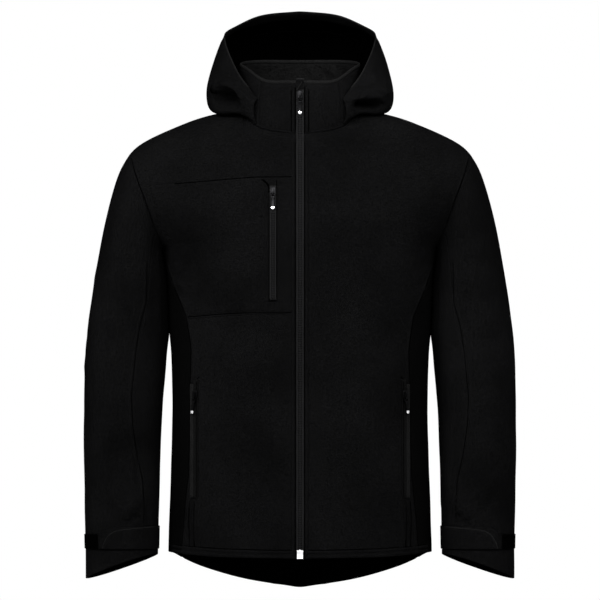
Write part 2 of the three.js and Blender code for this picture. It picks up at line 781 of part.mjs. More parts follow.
// A bar through cross-sections of equal point count, closed at both ends
function barGeometry(sections) {
  const count = sections[0].length;
  const faces = [];
  for (let k = 0; k < sections.length - 1; k++) {
    for (let i = 0; i < count; i++) {
      const a = k * count + i;
      const b = k * count + ((i + 1) % count);
      faces.push([a, b, b + count], [a, b + count, a + count]);
    }
  }
  const end = (sections.length - 1) * count;
  for (let i = 1; i < count - 1; i++) {
    faces.push([0, i + 1, i], [end, end + i, end + i + 1]);
  }
  return solidGeometry(sections.flat(), faces);
}

function addCollar() {
  const ring = collarRing();
  const normals = gridNormals(ring, point(0, 0, 15));
  const last = ring[0].length - 1;
  const cut = (grid, from, to) => grid.map((row) => row.slice(from, to + 1));
  const piece = (name, from, to) => {
    addCloth(name, cut(ring, from, to), cut(normals, from, to), "cloth", { wall: collarWall });
  };
  piece("collar_front_left", 0, frontStations);
  piece("collar_back", frontStations, last - frontStations);
  piece("collar_front_right", last - frontStations, last);

  const top = ring[ring.length - 1];
  const sections = top.map((p, i) => {
    const out = normals[ring.length - 1][i].clone().setZ(0).normalize();
    const middle = p.clone().addScaledVector(out, -collarWall / 2);
    middle.z += seamGap + binding.high / 2;
    return [0, 60, 120, 180, 240, 300].map((angle) => {
      const side = (binding.thick / 2) * Math.cos(degrees(angle));
      const rise = (binding.high / 1.8) * Math.sin(degrees(angle));
      return middle.clone().addScaledVector(out, side).add(point(0, 0, rise));
    });
  });
  addPiece("collar_binding", barGeometry(sections), "cloth");
}

addCollar();

// Hood: stations from the collar's front edge round to the centre back, each a bent line
// from the foot at the neck to the rim, pulled out by a low and a high point on its way
const hoodRows = [
  {
    at: 0,
    footX: 68.6, footY: -71.4, footZ: -30,
    lowX: 73, lowY: -75, lowZ: -20,
    highX: 73, highY: -75, highZ: 0,
    rimX: 66, rimY: -71, rimZ: 9,
  },
  {
    at: 0.13,
    footX: 84, footY: -51, footZ: -15,
    lowX: 108, lowY: -66, lowZ: -22,
    highX: 114, highY: -66, highZ: 20,
    rimX: 88, rimY: -54, rimZ: 39,
  },
  {
    at: 0.25,
    footX: 92, footY: -26, footZ: -6,
    lowX: 150, lowY: -42, lowZ: -44,
    highX: 136, highY: -34, highZ: 34,
    rimX: 105, rimY: -22, rimZ: 68,
  },
  {
    at: 0.4,
    footX: 93, footY: 2, footZ: -1,
    lowX: 180, lowY: 2, lowZ: -48,
    highX: 136, highY: 14, highZ: 62,
    rimX: 118, rimY: 18, rimZ: 107,
  },
  {
    at: 0.6,
    footX: 71, footY: 50, footZ: 5,
    lowX: 156, lowY: 112, lowZ: -45,
    highX: 136, highY: 100, highZ: 118,
    rimX: 94, rimY: 52, rimZ: 127,
  },
  {
    at: 0.8,
    footX: 37, footY: 65, footZ: 8,
    lowX: 74, lowY: 148, lowZ: -54,
    highX: 70, highY: 160, highZ: 142,
    rimX: 50, rimY: 74, rimZ: 144,
  },
  {
    at: 1,
    footX: 0, footY: 73, footZ: 9,
    lowX: 0, lowY: 158, lowZ: -58,
    highX: 0, highY: 182, highZ: 148,
    rimX: 0, rimY: 82, rimZ: 148,
  },
];
const hoodFolds = [
  { x: -140, z: 24, endX: -98, endZ: 29, height: 7, spread: 9 },
  { x: -134, z: 5, endX: -94, endZ: 8, height: -13, spread: 10 },
  { x: -92, z: 30, endX: -68, endZ: -4, height: 5, spread: 7 },
  { x: 106, z: 46, endX: 138, endZ: 16, height: 7, spread: 9 },
  { x: 124, z: -2, endX: 88, endZ: -3, height: -10, spread: 8 },
  { x: 66, z: 9, endX: 128, endZ: 14, height: 5, spread: 7 },
];
const hoodStations = [0, 0.06, 0.13, 0.19, 0.25, 0.32, 0.4, 0.47, 0.54, 0.61, 0.68, 0.76, 0.84, 0.92, 1];
const hoodCurve = {};
for (const column of Object.keys(hoodRows[0])) {
  hoodCurve[column] = smooth(hoodRows, "at", column);
}

function hoodPoint(at, t) {
  const weights = { foot: (1 - t) ** 3, low: 3 * t * (1 - t) ** 2, high: 3 * t * t * (1 - t), rim: t ** 3 };
  const p = point(0, 0, 0);
  for (const [place, weight] of Object.entries(weights)) {
    p.x += weight * hoodCurve[place + "X"](at);
    p.y += weight * hoodCurve[place + "Y"](at);
    p.z += weight * hoodCurve[place + "Z"](at);
  }
  return p;
}

function addHoodHalf(name, hand) {
  const grid = steps(12).map((t) => hoodStations.map((at) => hoodPoint(at, t)));
  const normals = gridNormals(grid, point(0, 20, 30));
  const last = hoodStations.length - 1;
  for (let j = 0; j < grid.length; j++) {
    normals[j][last].setX(0).normalize();
    for (let i = 0; i <= last; i++) {
      const p = grid[j][i];
      const forward = 1 - THREE.MathUtils.smoothstep(p.y, 0, 50);
      const inward = Math.sin((Math.PI * j) / (grid.length - 1));
      const height = foldHeight(hoodFolds, hand * p.x, p.z) * forward * inward;
      p.addScaledVector(normals[j][i], height);
    }
  }
  if (hand < 0) addCloth(name, mirrored(grid), mirrored(normals), "cloth");
  else addCloth(name, grid, normals, "cloth");
}

addHoodHalf("hood_left", 1);
addHoodHalf("hood_right", -1);

// Zips: bands that follow the cloth, sliders with a bridge, and pull tabs hung in it
const band = { wall: 1.5, sunk: 0.9, top: 39, foot: -686 };
const chestZip = { x: -41.5, half: 5, top: -127, foot: -301, slider: -137 };
const handZip = { x: 159.6, half: 2.6, top: -425, foot: -606, slider: -449, lean: 9 };
const welt = { x: 165.6, half: 2.6, top: -432, foot: -606 };
const centreSlider = 12;
const bottomBox = { wide: 9.3, deep: 4, top: -686.6, foot: -699.6 };
const slider = { half: 4.2, back: 0.5, front: 2.6, top: 8, foot: -8 };
const bridge = { half: 1.4, post: 1.6, end: 5.8, under: 5.3, over: 6.7 };
const pivot = { out: 3.95, up: -2.4 };
const pull = { bar: 0.85, half: 3.2, arm: 1.1, thick: 1.5, neck: -8, end: -25.5, bead: 2.7 };

// Front centre line of the body and the collar above it, at a height
function centreSkin(z) {
  const neckZ = frontNeck(0);
  if (z <= neckZ) return bodyPoint(0, z, -1);
  const foot = bodyPoint(0, neckZ, -1);
  const t = (z - neckZ) / (collarRows[0].topZ - neckZ);
  return point(0, mix(foot.y, collarRows[0].topY, t), z);
}

function addCentreBand() {
  const heights = [...steps(17, band.foot, -90), -75, -60, frontNeck(0), -20, 5, band.top];
  const sections = heights.map((z) => {
    const face = centreSkin(z).y + band.sunk;
    const half = zipHalf - 0.3;
    const back = face + band.wall;
    return [point(-half, face, z), point(half, face, z), point(half, back, z), point(-half, back, z)];
  });
  addPiece("centre_zip_band", barGeometry(sections), "tape");
}

// Strip lying on the front: points of the body's skin, lifted off it
function addStrip(name, strip, hand, finish) {
  const skins = steps(10).map((t) => steps(2, -strip.half, strip.half).map((off) => {
    return bodySkin(hand * (Math.abs(strip.x) + off), mix(strip.foot, strip.top, t), -1);
  }));
  const lift = overlayGap + thinWall;
  const grid = skins.map((row) => row.map((skin) => skin.p.addScaledVector(skin.normal, lift)));
  const normals = skins.map((row) => row.map((skin) => skin.normal));
  addCloth(name, grid, normals, finish, { wall: thinWall, drawn: false });
}

// Box from its limits: x across, y outward from the cloth, z along the zip
function boxSolid(x0, x1, y0, y1, z0, z1) {
  const box = new THREE.BoxGeometry(x1 - x0, y1 - y0, z1 - z0);
  box.translate((x0 + x1) / 2, -(y0 + y1) / 2, (z0 + z1) / 2);
  return toSolid(box);
}

function toSolid(geometry) {
  geometry.deleteAttribute("normal");
  geometry.deleteAttribute("uv");
  const merged = BufferGeometryUtils.mergeVertices(geometry, 1e-4);
  return new wasm.Manifold(new wasm.Mesh({
    numProp: 3,
    vertProperties: new Float32Array(merged.attributes.position.array),
    triVerts: new Uint32Array(merged.index.array),
  }));
}

function fromSolid(solid) {
  const mesh = solid.getMesh();
  const geometry = new THREE.BufferGeometry();
  geometry.setAttribute("position", new THREE.BufferAttribute(mesh.vertProperties, 3));
  geometry.setIndex(new THREE.BufferAttribute(mesh.triVerts, 1));
  return geometry;
}

// Plate cut from an outline in x and z, with a thickness outward
function plateSolid(outline, y0, y1) {
  const shape = new THREE.Shape(outline.map(([x, z]) => new THREE.Vector2(x, z)));
  const plate = new THREE.ExtrudeGeometry(shape, { depth: y1 - y0, bevelEnabled: false });
  plate.rotateX(Math.PI / 2);
  plate.translate(0, -y0, 0);
  return toSolid(plate);
}

function sliderSolid() {
  const { half, top, foot, back, front } = slider;
  const outline = [
    [-half + 1.4, foot], [half - 1.4, foot],
    [half, foot + 5], [half, top - 2],
    [half - 2, top], [-half + 2, top],
    [-half, top - 2], [-half, foot + 5],
  ];
  const { half: side, post, end, under, over } = bridge;
  return plateSolid(outline, back, front)
    .add(boxSolid(-side, side, front - 0.5, over, end - post, end))
    .add(boxSolid(-side, side, front - 0.5, over, -end, -end + post))
    .add(boxSolid(-side, side, under, over, -end, end));
}

function pullSolid() {
  const bar = new THREE.CylinderGeometry(pull.bar, pull.bar, 2 * pull.half - 0.2, 8);
  bar.rotateZ(Math.PI / 2);
  bar.translate(0, -pivot.out, pivot.up);
  const near = pivot.out - pull.thick / 2;
  const far = pivot.out + pull.thick / 2;
  const inside = pull.half - pull.arm;
  const bead = new THREE.CylinderGeometry(pull.bead, pull.bead, pull.thick, 12);
  bead.translate(0, -pivot.out, pull.end);
  return toSolid(bar)
    .add(boxSolid(-pull.half, -inside, near, far, pull.neck, pivot.up + 0.8))
    .add(boxSolid(inside, pull.half, near, far, pull.neck, pivot.up + 0.8))
    .add(boxSolid(-pull.half, pull.half, near, far, pull.neck - 2, pull.neck))
    .add(boxSolid(-1.9, 1.9, near, far, pull.end, pull.neck - 1))
    .add(toSolid(bead));
}

// Where a slider sits: up along its zip, facing out of the cloth, lifted off the cloth's face
function sliderPlace(low, high, facing, lift) {
  const up = high.clone().sub(low).normalize();
  const inward = facing.clone().negate().addScaledVector(up, facing.dot(up)).normalize();
  const across = inward.clone().cross(up);
  const middle = low.clone().lerp(high, 0.5).addScaledVector(inward, -lift);
  return new THREE.Matrix4().makeBasis(across, inward, up).setPosition(middle);
}

// A slider on a strip that lies on the front
function stripSliderPlace(strip, hand) {
  const x = hand * Math.abs(strip.x);
  const low = bodySkin(x, strip.slider - 9, -1);
  const high = bodySkin(x, strip.slider + 9, -1);
  return sliderPlace(low.p, high.p, low.normal, overlayGap + thinWall + 0.1);
}

function addSliderAndPull(name, place, lean) {
  const body = fromSolid(sliderSolid());
  body.applyMatrix4(place);
  addPiece(name + "_slider", body, "metal");
  const tab = fromSolid(pullSolid());
  tab.translate(0, 0, -pivot.up);
  tab.rotateY(degrees(lean));
  tab.translate(0, 0, pivot.up);
  tab.applyMatrix4(place);
  addPiece(name + "_pull", tab, "metal");
}

function addHandPocket(side, hand) {
  addStrip("hand_pocket_zip_" + side, handZip, hand, "tape");
  addStrip("hand_pocket_welt_" + side, welt, hand, "cloth");
  addSliderAndPull("hand_pocket_" + side, stripSliderPlace(handZip, hand), hand * -handZip.lean);
}

function addZips() {
  addCentreBand();
  const box = new THREE.BoxGeometry(bottomBox.wide, bottomBox.deep, bottomBox.top - bottomBox.foot);
  const boxZ = (bottomBox.top + bottomBox.foot) / 2;
  box.translate(0, centreSkin(boxZ).y + 0.8, boxZ);
  addPiece("centre_zip_box", fromSolid(toSolid(box)), "silver");
  const low = centreSkin(centreSlider - 9);
  const high = centreSkin(centreSlider + 9);
  addSliderAndPull("centre_zip", sliderPlace(low, high, point(0, -1, 0), -band.sunk), 0);

  addStrip("chest_zip_band", chestZip, -1, "tape");
  addSliderAndPull("chest_zip", stripSliderPlace(chestZip, -1), 0);
  addHandPocket("left", 1);
  addHandPocket("right", -1);
}

addZips();

export default group;
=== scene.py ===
"""Looks of a hooded softshell jacket: cloth with creases, sewing, zips, light and camera."""

import bisect
import math

import bmesh
import bpy
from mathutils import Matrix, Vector, noise
from mathutils.bvhtree import BVHTree


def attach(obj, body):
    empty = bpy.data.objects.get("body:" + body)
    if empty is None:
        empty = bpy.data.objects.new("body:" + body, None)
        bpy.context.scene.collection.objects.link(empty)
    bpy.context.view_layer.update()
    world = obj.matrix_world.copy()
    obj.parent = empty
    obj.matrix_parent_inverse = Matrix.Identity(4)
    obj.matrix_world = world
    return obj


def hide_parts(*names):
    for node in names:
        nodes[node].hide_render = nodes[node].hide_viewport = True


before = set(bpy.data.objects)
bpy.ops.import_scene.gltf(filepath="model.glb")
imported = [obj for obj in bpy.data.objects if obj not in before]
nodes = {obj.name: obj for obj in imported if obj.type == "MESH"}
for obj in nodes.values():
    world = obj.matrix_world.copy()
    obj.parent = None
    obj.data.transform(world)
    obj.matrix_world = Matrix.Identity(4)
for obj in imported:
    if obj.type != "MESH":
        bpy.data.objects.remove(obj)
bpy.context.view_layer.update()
MM = 0.001
HANDS = ("left", "right")

# Cloth pieces: the group whose creases they share, their material, the cut's width and length in
# metres, and its area in square metres where that is less than the full rectangle
SINGLE_CLOTH = {
    "front_left": ("body", "shell", (0.29, 0.72), 0.168),
    "front_yoke_right": ("body", "shell", (0.29, 0.16), 0.037),
    "chest_pocket_panel": ("body", "shell", (0.26, 0.22), 0.052),
    "front_lower_right": ("body", "shell", (0.2, 0.38), 0.07),
    "back": ("body", "shell", (0.62, 0.78), 0.36),
    "collar_back": ("collar", "shell", (0.33, 0.075), 0.022),
    "collar_binding": ("collar", "binding", (0.44, 0.012), 0.004),
    "centre_zip_band": ("collar", "tape", (0.014, 0.735), None),
    "chest_zip_band": ("body", "tape", (0.0105, 0.175), None),
}
PAIRED_CLOTH = {
    # The side panels' darker cloth is partly painted shade
    "side_panel": ("body", "stretch", (0.21, 0.48), 0.08),
    "sleeve_top": ("sleeve", "shell", (0.33, 0.64), 0.16),
    "sleeve_under": ("sleeve", "shell", (0.18, 0.5), 0.068),
    "cuff_end": ("sleeve", "shell", (0.35, 0.045), 0.008),
    "cuff_tab": ("sleeve", "shell", (0.125, 0.036), None),
    "loop_patch": ("sleeve", "loop", (0.062, 0.022), None),
    "collar_front": ("collar", "shell", (0.06, 0.078), None),
    "hood": ("hood", "shell", (0.3, 0.31), 0.05),
    "hand_pocket_zip": ("body", "covered_tape", (0.01, 0.182), 0.001),
    "hand_pocket_welt": ("body", "binding", (0.01, 0.175), 0.001),
}
CLOTH = dict(SINGLE_CLOTH)
for stem, row in PAIRED_CLOTH.items():
    CLOTH.update({f"{stem}_{hand}": row for hand in HANDS})

ZIPS = ("centre_zip", "chest_zip", "hand_pocket_left", "hand_pocket_right")

# Creases in millimetres as seen from the front: a line, its height and half width
FRONT_CREASES = [
    {"x": -207, "z": -240, "end_x": -168, "end_z": -252, "height": -2.2, "width": 5},
    {"x": -199, "z": -258, "end_x": -160, "end_z": -281, "height": -2.6, "width": 6},
    {"x": -190, "z": -286, "end_x": -166, "end_z": -310, "height": -2.0, "width": 6},
    {"x": -182, "z": -302, "end_x": -160, "end_z": -322, "height": 1.6, "width": 5},
    {"x": 207, "z": -243, "end_x": 172, "end_z": -258, "height": -2.2, "width": 5},
    {"x": 198, "z": -268, "end_x": 168, "end_z": -296, "height": -2.4, "width": 6},
    {"x": -166, "z": -600, "end_x": -170, "end_z": -692, "height": -2.4, "width": 5},
    {"x": -159, "z": -612, "end_x": -161, "end_z": -692, "height": 1.8, "width": 4},
    {"x": 166, "z": -602, "end_x": 172, "end_z": -692, "height": -2.4, "width": 5},
    {"x": 158, "z": -608, "end_x": 160, "end_z": -692, "height": 1.8, "width": 4},
    {"x": -120, "z": -560, "end_x": -40, "end_z": -575, "height": 1.2, "width": 16},
    {"x": 130, "z": -470, "end_x": 60, "end_z": -500, "height": 1.4, "width": 20},
    {"x": 90, "z": -190, "end_x": 190, "end_z": -150, "height": 1.6, "width": 18},
    {"x": -70, "z": -90, "end_x": -180, "end_z": -75, "height": 1.4, "width": 14},
    {"x": -247, "z": -84, "end_x": -234, "end_z": -118, "height": 1.4, "width": 6},
    {"x": -234, "z": -118, "end_x": -218, "end_z": -186, "height": 1.4, "width": 5},
    {"x": 247, "z": -84, "end_x": 234, "end_z": -118, "height": 1.4, "width": 6},
    {"x": 234, "z": -118, "end_x": 218, "end_z": -186, "height": 1.4, "width": 5},
    {"x": -46, "z": -304, "end_x": -26, "end_z": -318, "height": -1.4, "width": 3},
    {"x": -20, "z": -300, "end_x": -14, "end_z": -318, "height": 1.2, "width": 4},
]
BACK_CREASES = [
    {"x": -205, "z": -250, "end_x": -140, "end_z": -275, "height": -2.6, "width": 8},
    {"x": 205, "z": -245, "end_x": 150, "end_z": -280, "height": -2.4, "width": 8},
    {"x": -180, "z": -400, "end_x": -70, "end_z": -425, "height": 2.2, "width": 14},
    {"x": 170, "z": -430, "end_x": 60, "end_z": -445, "height": 2.0, "width": 15},
    {"x": -60, "z": -480, "end_x": 90, "end_z": -490, "height": -1.8, "width": 14},
    {"x": -150, "z": -120, "end_x": -60, "end_z": -60, "height": 1.8, "width": 15},
    {"x": 150, "z": -125, "end_x": 65, "end_z": -62, "height": 1.6, "width": 14},
]
# The wearer's left sleeve. The right one has the same creases, mirrored and shifted
SLEEVE_CREASES = [
    {"x": 304, "z": -236, "end_x": 246, "end_z": -252, "height": -3.0, "width": 7},
    {"x": 316, "z": -266, "end_x": 256, "end_z": -272, "height": 1.8, "width": 9},
    {"x": 318, "z": -296, "end_x": 250, "end_z": -306, "height": -2.6, "width": 7},
    {"x": 322, "z": -326, "end_x": 262, "end_z": -342, "height": 2.8, "width": 8},
    {"x": 326, "z": -356, "end_x": 274, "end_z": -376, "height": -3.2, "width": 8},
    {"x": 330, "z": -400, "end_x": 290, "end_z": -420, "height": 1.8, "width": 10},
    {"x": 318, "z": -470, "end_x": 276, "end_z": -500, "height": -2.0, "width": 13},
    {"x": 318, "z": -570, "end_x": 270, "end_z": -612, "height": 2.8, "width": 9},
    {"x": 318, "z": -600, "end_x": 262, "end_z": -648, "height": -3.4, "width": 7},
    {"x": 247, "z": -540, "end_x": 241, "end_z": -606, "height": -2.6, "width": 4},
    {"x": 239, "z": -606, "end_x": 266, "end_z": -637, "height": 6.0, "width": 8},
    {"x": 240, "z": -626, "end_x": 272, "end_z": -650, "height": -7.5, "width": 5},
    {"x": 228, "z": -616, "end_x": 231, "end_z": -648, "height": -2.6, "width": 4},
]
HOOD_CREASES = [
    {"x": -134, "z": 23, "end_x": -117, "end_z": 33, "height": 6.0, "width": 6},
    {"x": -117, "z": 33, "end_x": -98, "end_z": 27, "height": 8.0, "width": 5},
    {"x": -98, "z": 27, "end_x": -90, "end_z": 13, "height": 7.0, "width": 5},
    {"x": -90, "z": 13, "end_x": -86, "end_z": -5, "height": 4.5, "width": 5},
    {"x": -124, "z": 13, "end_x": -103, "end_z": 10, "height": -17.0, "width": 8},
    {"x": -119, "z": 1, "end_x": -103, "end_z": -3, "height": -15.0, "width": 8},
    {"x": -132, "z": 52, "end_x": -112, "end_z": 42, "height": -2.0, "width": 6},
    {"x": -88, "z": 30, "end_x": -70, "end_z": -6, "height": 2.6, "width": 4},
    {"x": 108, "z": 46, "end_x": 124, "end_z": 26, "height": 4.5, "width": 4},
    {"x": 124, "z": 26, "end_x": 133, "end_z": 16, "height": 5.0, "width": 5},
    {"x": 68, "z": 8, "end_x": 106, "end_z": 12, "height": 5.0, "width": 4},
    {"x": 106, "z": 12, "end_x": 132, "end_z": 6, "height": 5.0, "width": 5},
    {"x": 84, "z": 24, "end_x": 116, "end_z": 22, "height": -4.0, "width": 5},
    {"x": 122, "z": -1, "end_x": 88, "end_z": -2, "height": -20.0, "width": 7},
    {"x": 118, "z": 56, "end_x": 134, "end_z": 38, "height": -2.0, "width": 5},
    {"x": 74, "z": -4, "end_x": 82, "end_z": -20, "height": 2.2, "width": 4},
]
HOOD_BACK_CREASES = [
    {"x": -110, "z": 90, "end_x": -30, "end_z": 60, "height": 2.4, "width": 9},
    {"x": 105, "z": 70, "end_x": 35, "end_z": 40, "height": -2.6, "width": 9},
    {"x": -90, "z": 10, "end_x": 10, "end_z": 0, "height": -2.4, "width": 9},
]
COLLAR_BACK_CREASES = [
    {"x": 10, "z": 66, "end_x": 34, "end_z": 38, "height": -4.0, "width": 4},
    {"x": 22, "z": 66, "end_x": 48, "end_z": 40, "height": 4.0, "width": 4},
    {"x": 36, "z": 66, "end_x": 62, "end_z": 42, "height": -4.2, "width": 4},
    {"x": 50, "z": 66, "end_x": 74, "end_z": 44, "height": 3.6, "width": 4},
    {"x": -30, "z": 62, "end_x": -66, "end_z": 45, "height": 1.4, "width": 5},
]

# Share of a crease's length, each way from its middle, that has the full height
CREASE_CORE = 0.28

# Places in metres where creases fade out or change sides, and the fine ripples between them
SLEEVE_FADE_Z = (-0.2, -0.25)
BODY_FADE_Y = 0.05
HOOD_BACK_Y = 0.06
COLLAR_BACK_Y = 0.02
RIPPLE_HEIGHT = 0.5 * MM
RIPPLES = 22

# In millimetres: how far sleeve creases sit further in on the wearer's left, and out on the right
SLEEVE_SHIFT = 6
COLLAR_CREASE_TOP = 62

# The hanging sleeves rest on the body's sides: where in millimetres, and how far each swells
REST_MIDDLE = -288
REST_REACH = 78
BODY_REST_X = 194
SLEEVE_REST_X = 222
BODY_SWELL = 1.1 * MM
SLEEVE_SWELL = 2.8 * MM

# Hollows that the pieces go round, in metres
BODY_HALF_WIDTH = 0.2
BODY_HALF_DEPTH = 0.125
UPPER_ARM_X = 0.262
FOREARM_X = 0.275
ELBOW_Z = -0.4
ARM_Y = -0.01
HOOD_MIDDLE = Vector((0, 0.03, 0.04))

# Hood rim seen from the side, in metres, with the share that makes a distance square to its slope
RIM_Z = [0.009, 0.039, 0.068, 0.107, 0.127, 0.144, 0.148]
RIM_Y = [-0.071, -0.054, -0.022, 0.018, 0.052, 0.074, 0.082]
RIM_SLANT = 0.7
HOOD_HEM = 0.024

# The hood sinks behind the top of its rim: how deep, from where up, and how far behind the rim
RIM_DIP = 11 * MM
DIP_LOW_Z, DIP_FULL_Z = 0.1, 0.13
DIP_FULL, DIP_END = 0.018, 0.09


def ramp(value, start, end):
    """0 up to start, 1 from end on, and straight between them."""
    return min(1.0, max(0.0, (value - start) / (end - start)))


def crease_height(creases, x, z):
    """Height in metres that the creases give at a place in millimetres."""
    total = 0.0
    for crease in creases:
        from_x, from_z = x - crease["x"], z - crease["z"]
        along_x, along_z = crease["end_x"] - crease["x"], crease["end_z"] - crease["z"]
        length = math.hypot(along_x, along_z)
        share = (from_x * along_x + from_z * along_z) / length**2
        off = (from_x * along_z - from_z * along_x) / length
        past = max(0.0, abs(share - 0.5) - CREASE_CORE) * length
        total += crease["height"] * math.exp(-(off**2 + past**2) / crease["width"] ** 2)
    return total * MM


def outward(group, p):
    """Direction away from the hollow that a group of pieces goes round."""
    if group == "body":
        return Vector((p.x / BODY_HALF_WIDTH**2, p.y / BODY_HALF_DEPTH**2, 0)).normalized()
    if group == "sleeve":
        arm_x = math.copysign(FOREARM_X if p.z < ELBOW_Z else UPPER_ARM_X, p.x)
        return Vector((p.x - arm_x, p.y - ARM_Y, 0)).normalized()
    if group == "hood":
        return (p - HOOD_MIDDLE).normalized()
    return Vector((p.x, p.y, 0)).normalized()


def behind_rim(p):
    """Distance from a point of the hood to its rim, about square to the rim's slope."""
    i = bisect.bisect(RIM_Z, p.z)
    i = min(max(i, 1), len(RIM_Z) - 1)
    share = (p.z - RIM_Z[i - 1]) / (RIM_Z[i] - RIM_Z[i - 1])
    return RIM_SLANT * (p.y - RIM_Y[i - 1] - share * (RIM_Y[i] - RIM_Y[i - 1]))


def rim_dip(p):
    """How far the top of the hood sinks behind its rim, so that the rim's inner hem shows."""
    back = behind_rim(p)
    deep = ramp(p.z, DIP_LOW_Z, DIP_FULL_Z) * ramp(back, 0, DIP_FULL)
    return RIM_DIP * deep * (1 - ramp(back, 0, DIP_END))


def resting(z, swell):
    """How far cloth swells at a height, where sleeve and body lie together."""
    return swell * math.exp(-((z - REST_MIDDLE) / REST_REACH) ** 6)


def raised(group, p):
    """How far creases, ripples and resting cloth move a point of a group outward."""
    x, z = p.x / MM, p.z / MM
    ripple = RIPPLE_HEIGHT * noise.noise(p * RIPPLES)
    if group == "body":
        fade = ramp(abs(p.y), 0, BODY_FADE_Y)
        creases = FRONT_CREASES if p.y < 0 else BACK_CREASES
        swell = BODY_SWELL if abs(x) > BODY_REST_X else 0
        return fade * crease_height(creases, x, z) + ripple + resting(z, swell)
    if group == "sleeve":
        fade = ramp(p.z, *SLEEVE_FADE_Z)
        shifted = abs(x) + math.copysign(SLEEVE_SHIFT, x)
        swell = SLEEVE_SWELL if abs(x) < SLEEVE_REST_X else 0
        return fade * crease_height(SLEEVE_CREASES, shifted, z) + ripple + resting(z, swell)
    if group == "hood":
        creases = HOOD_BACK_CREASES if p.y > HOOD_BACK_Y else HOOD_CREASES
        return crease_height(creases, x, z) + ripple - rim_dip(p)
    if p.y > COLLAR_BACK_Y and z < COLLAR_CREASE_TOP:
        return crease_height(COLLAR_BACK_CREASES, x, z)
    return 0.0


def new_material(name):
    """An empty node material and its shader."""
    mat = bpy.data.materials.new(name)
    mat.use_nodes = True
    tree = mat.node_tree
    return mat, tree, tree.nodes["Principled BSDF"]


def add_node(tree, kind, **values):
    """A node with its properties and constant inputs set."""
    node = tree.nodes.new(kind)
    for key, value in values.items():
        if key in node.inputs:
            node.inputs[key].default_value = value
        else:
            setattr(node, key, value)
    return node


def wave(tree, direction, threads):
    """Threads that run one way."""
    node = add_node(tree, "ShaderNodeTexWave", Scale=threads, Distortion=1.2)
    node.bands_direction = direction
    return node


def combined(tree, operation, first, second):
    """The sum or product of two sockets, or of a socket and a number."""
    node = add_node(tree, "ShaderNodeMath", operation=operation)
    tree.links.new(first, node.inputs[0])
    if isinstance(second, float):
        node.inputs[1].default_value = second
    else:
        tree.links.new(second, node.inputs[1])
    return node.outputs[0]


def shaded(tree, factor, dark, light):
    """Colour from dark to light as the factor goes from 0 to 1."""
    node = add_node(tree, "ShaderNodeValToRGB")
    node.color_ramp.elements[0].color = (*dark, 1)
    node.color_ramp.elements[1].color = (*light, 1)
    tree.links.new(factor, node.inputs["Fac"])
    return node.outputs["Color"]


# How strongly the noise changes a cloth's tone, and the shade of metal where it is worn
TONE_GAIN = 1.9
WORN = 0.8


def cloth_material(name, dark, light, threads, depth):
    """Woven cloth: crossing threads and grain in the bump, and a faint cloudy change of tone."""
    mat, tree, shader = new_material(name)
    place = add_node(tree, "ShaderNodeTexCoord")
    warp, weft = wave(tree, "DIAGONAL", threads), wave(tree, "Z", threads)
    grain = add_node(tree, "ShaderNodeTexNoise", Scale=560.0, Detail=2.0)
    cloud = add_node(tree, "ShaderNodeTexNoise", Scale=9.0, Detail=4.0)
    for texture in (warp, weft, grain, cloud):
        tree.links.new(place.outputs["Object"], texture.inputs["Vector"])

    weave = combined(tree, "MULTIPLY", warp.outputs["Fac"], weft.outputs["Fac"])
    height = combined(tree, "ADD", weave, grain.outputs["Fac"])
    bump = add_node(tree, "ShaderNodeBump", Strength=depth, Distance=0.6 * MM)
    tree.links.new(height, bump.inputs["Height"])
    tree.links.new(bump.outputs["Normal"], shader.inputs["Normal"])

    speckle = add_node(tree, "ShaderNodeMapRange", **{"From Min": 0.22, "From Max": 0.78})
    tree.links.new(grain.outputs["Fac"], speckle.inputs["Value"])
    mixed = combined(tree, "MULTIPLY", cloud.outputs["Fac"], speckle.outputs["Result"])
    tone = shaded(tree, combined(tree, "MULTIPLY", mixed, TONE_GAIN), dark, light)
    tree.links.new(tone, shader.inputs["Base Color"])
    shader.inputs["Roughness"].default_value = 1.0
    shader.inputs["Specular IOR Level"].default_value = 0.0
    return mat


def metal_material(name, color, roughness):
    """Painted or bare metal with fine handling marks in its roughness and shade."""
    mat, tree, shader = new_material(name)
    place = add_node(tree, "ShaderNodeTexCoord")
    marks = add_node(tree, "ShaderNodeTexNoise", Scale=260.0, Detail=5.0)
    tree.links.new(place.outputs["Object"], marks.inputs["Vector"])
    spread = add_node(tree, "ShaderNodeMapRange",
                      **{"To Min": roughness - 0.08, "To Max": roughness + 0.12})
    tree.links.new(marks.outputs["Fac"], spread.inputs["Value"])
    tree.links.new(spread.outputs["Result"], shader.inputs["Roughness"])
    worn = [WORN * part for part in color]
    tree.links.new(shaded(tree, marks.outputs["Fac"], worn, color), shader.inputs["Base Color"])
    shader.inputs["Metallic"].default_value = 1.0
    return mat


def grey(tone):
    return (tone, tone, tone)


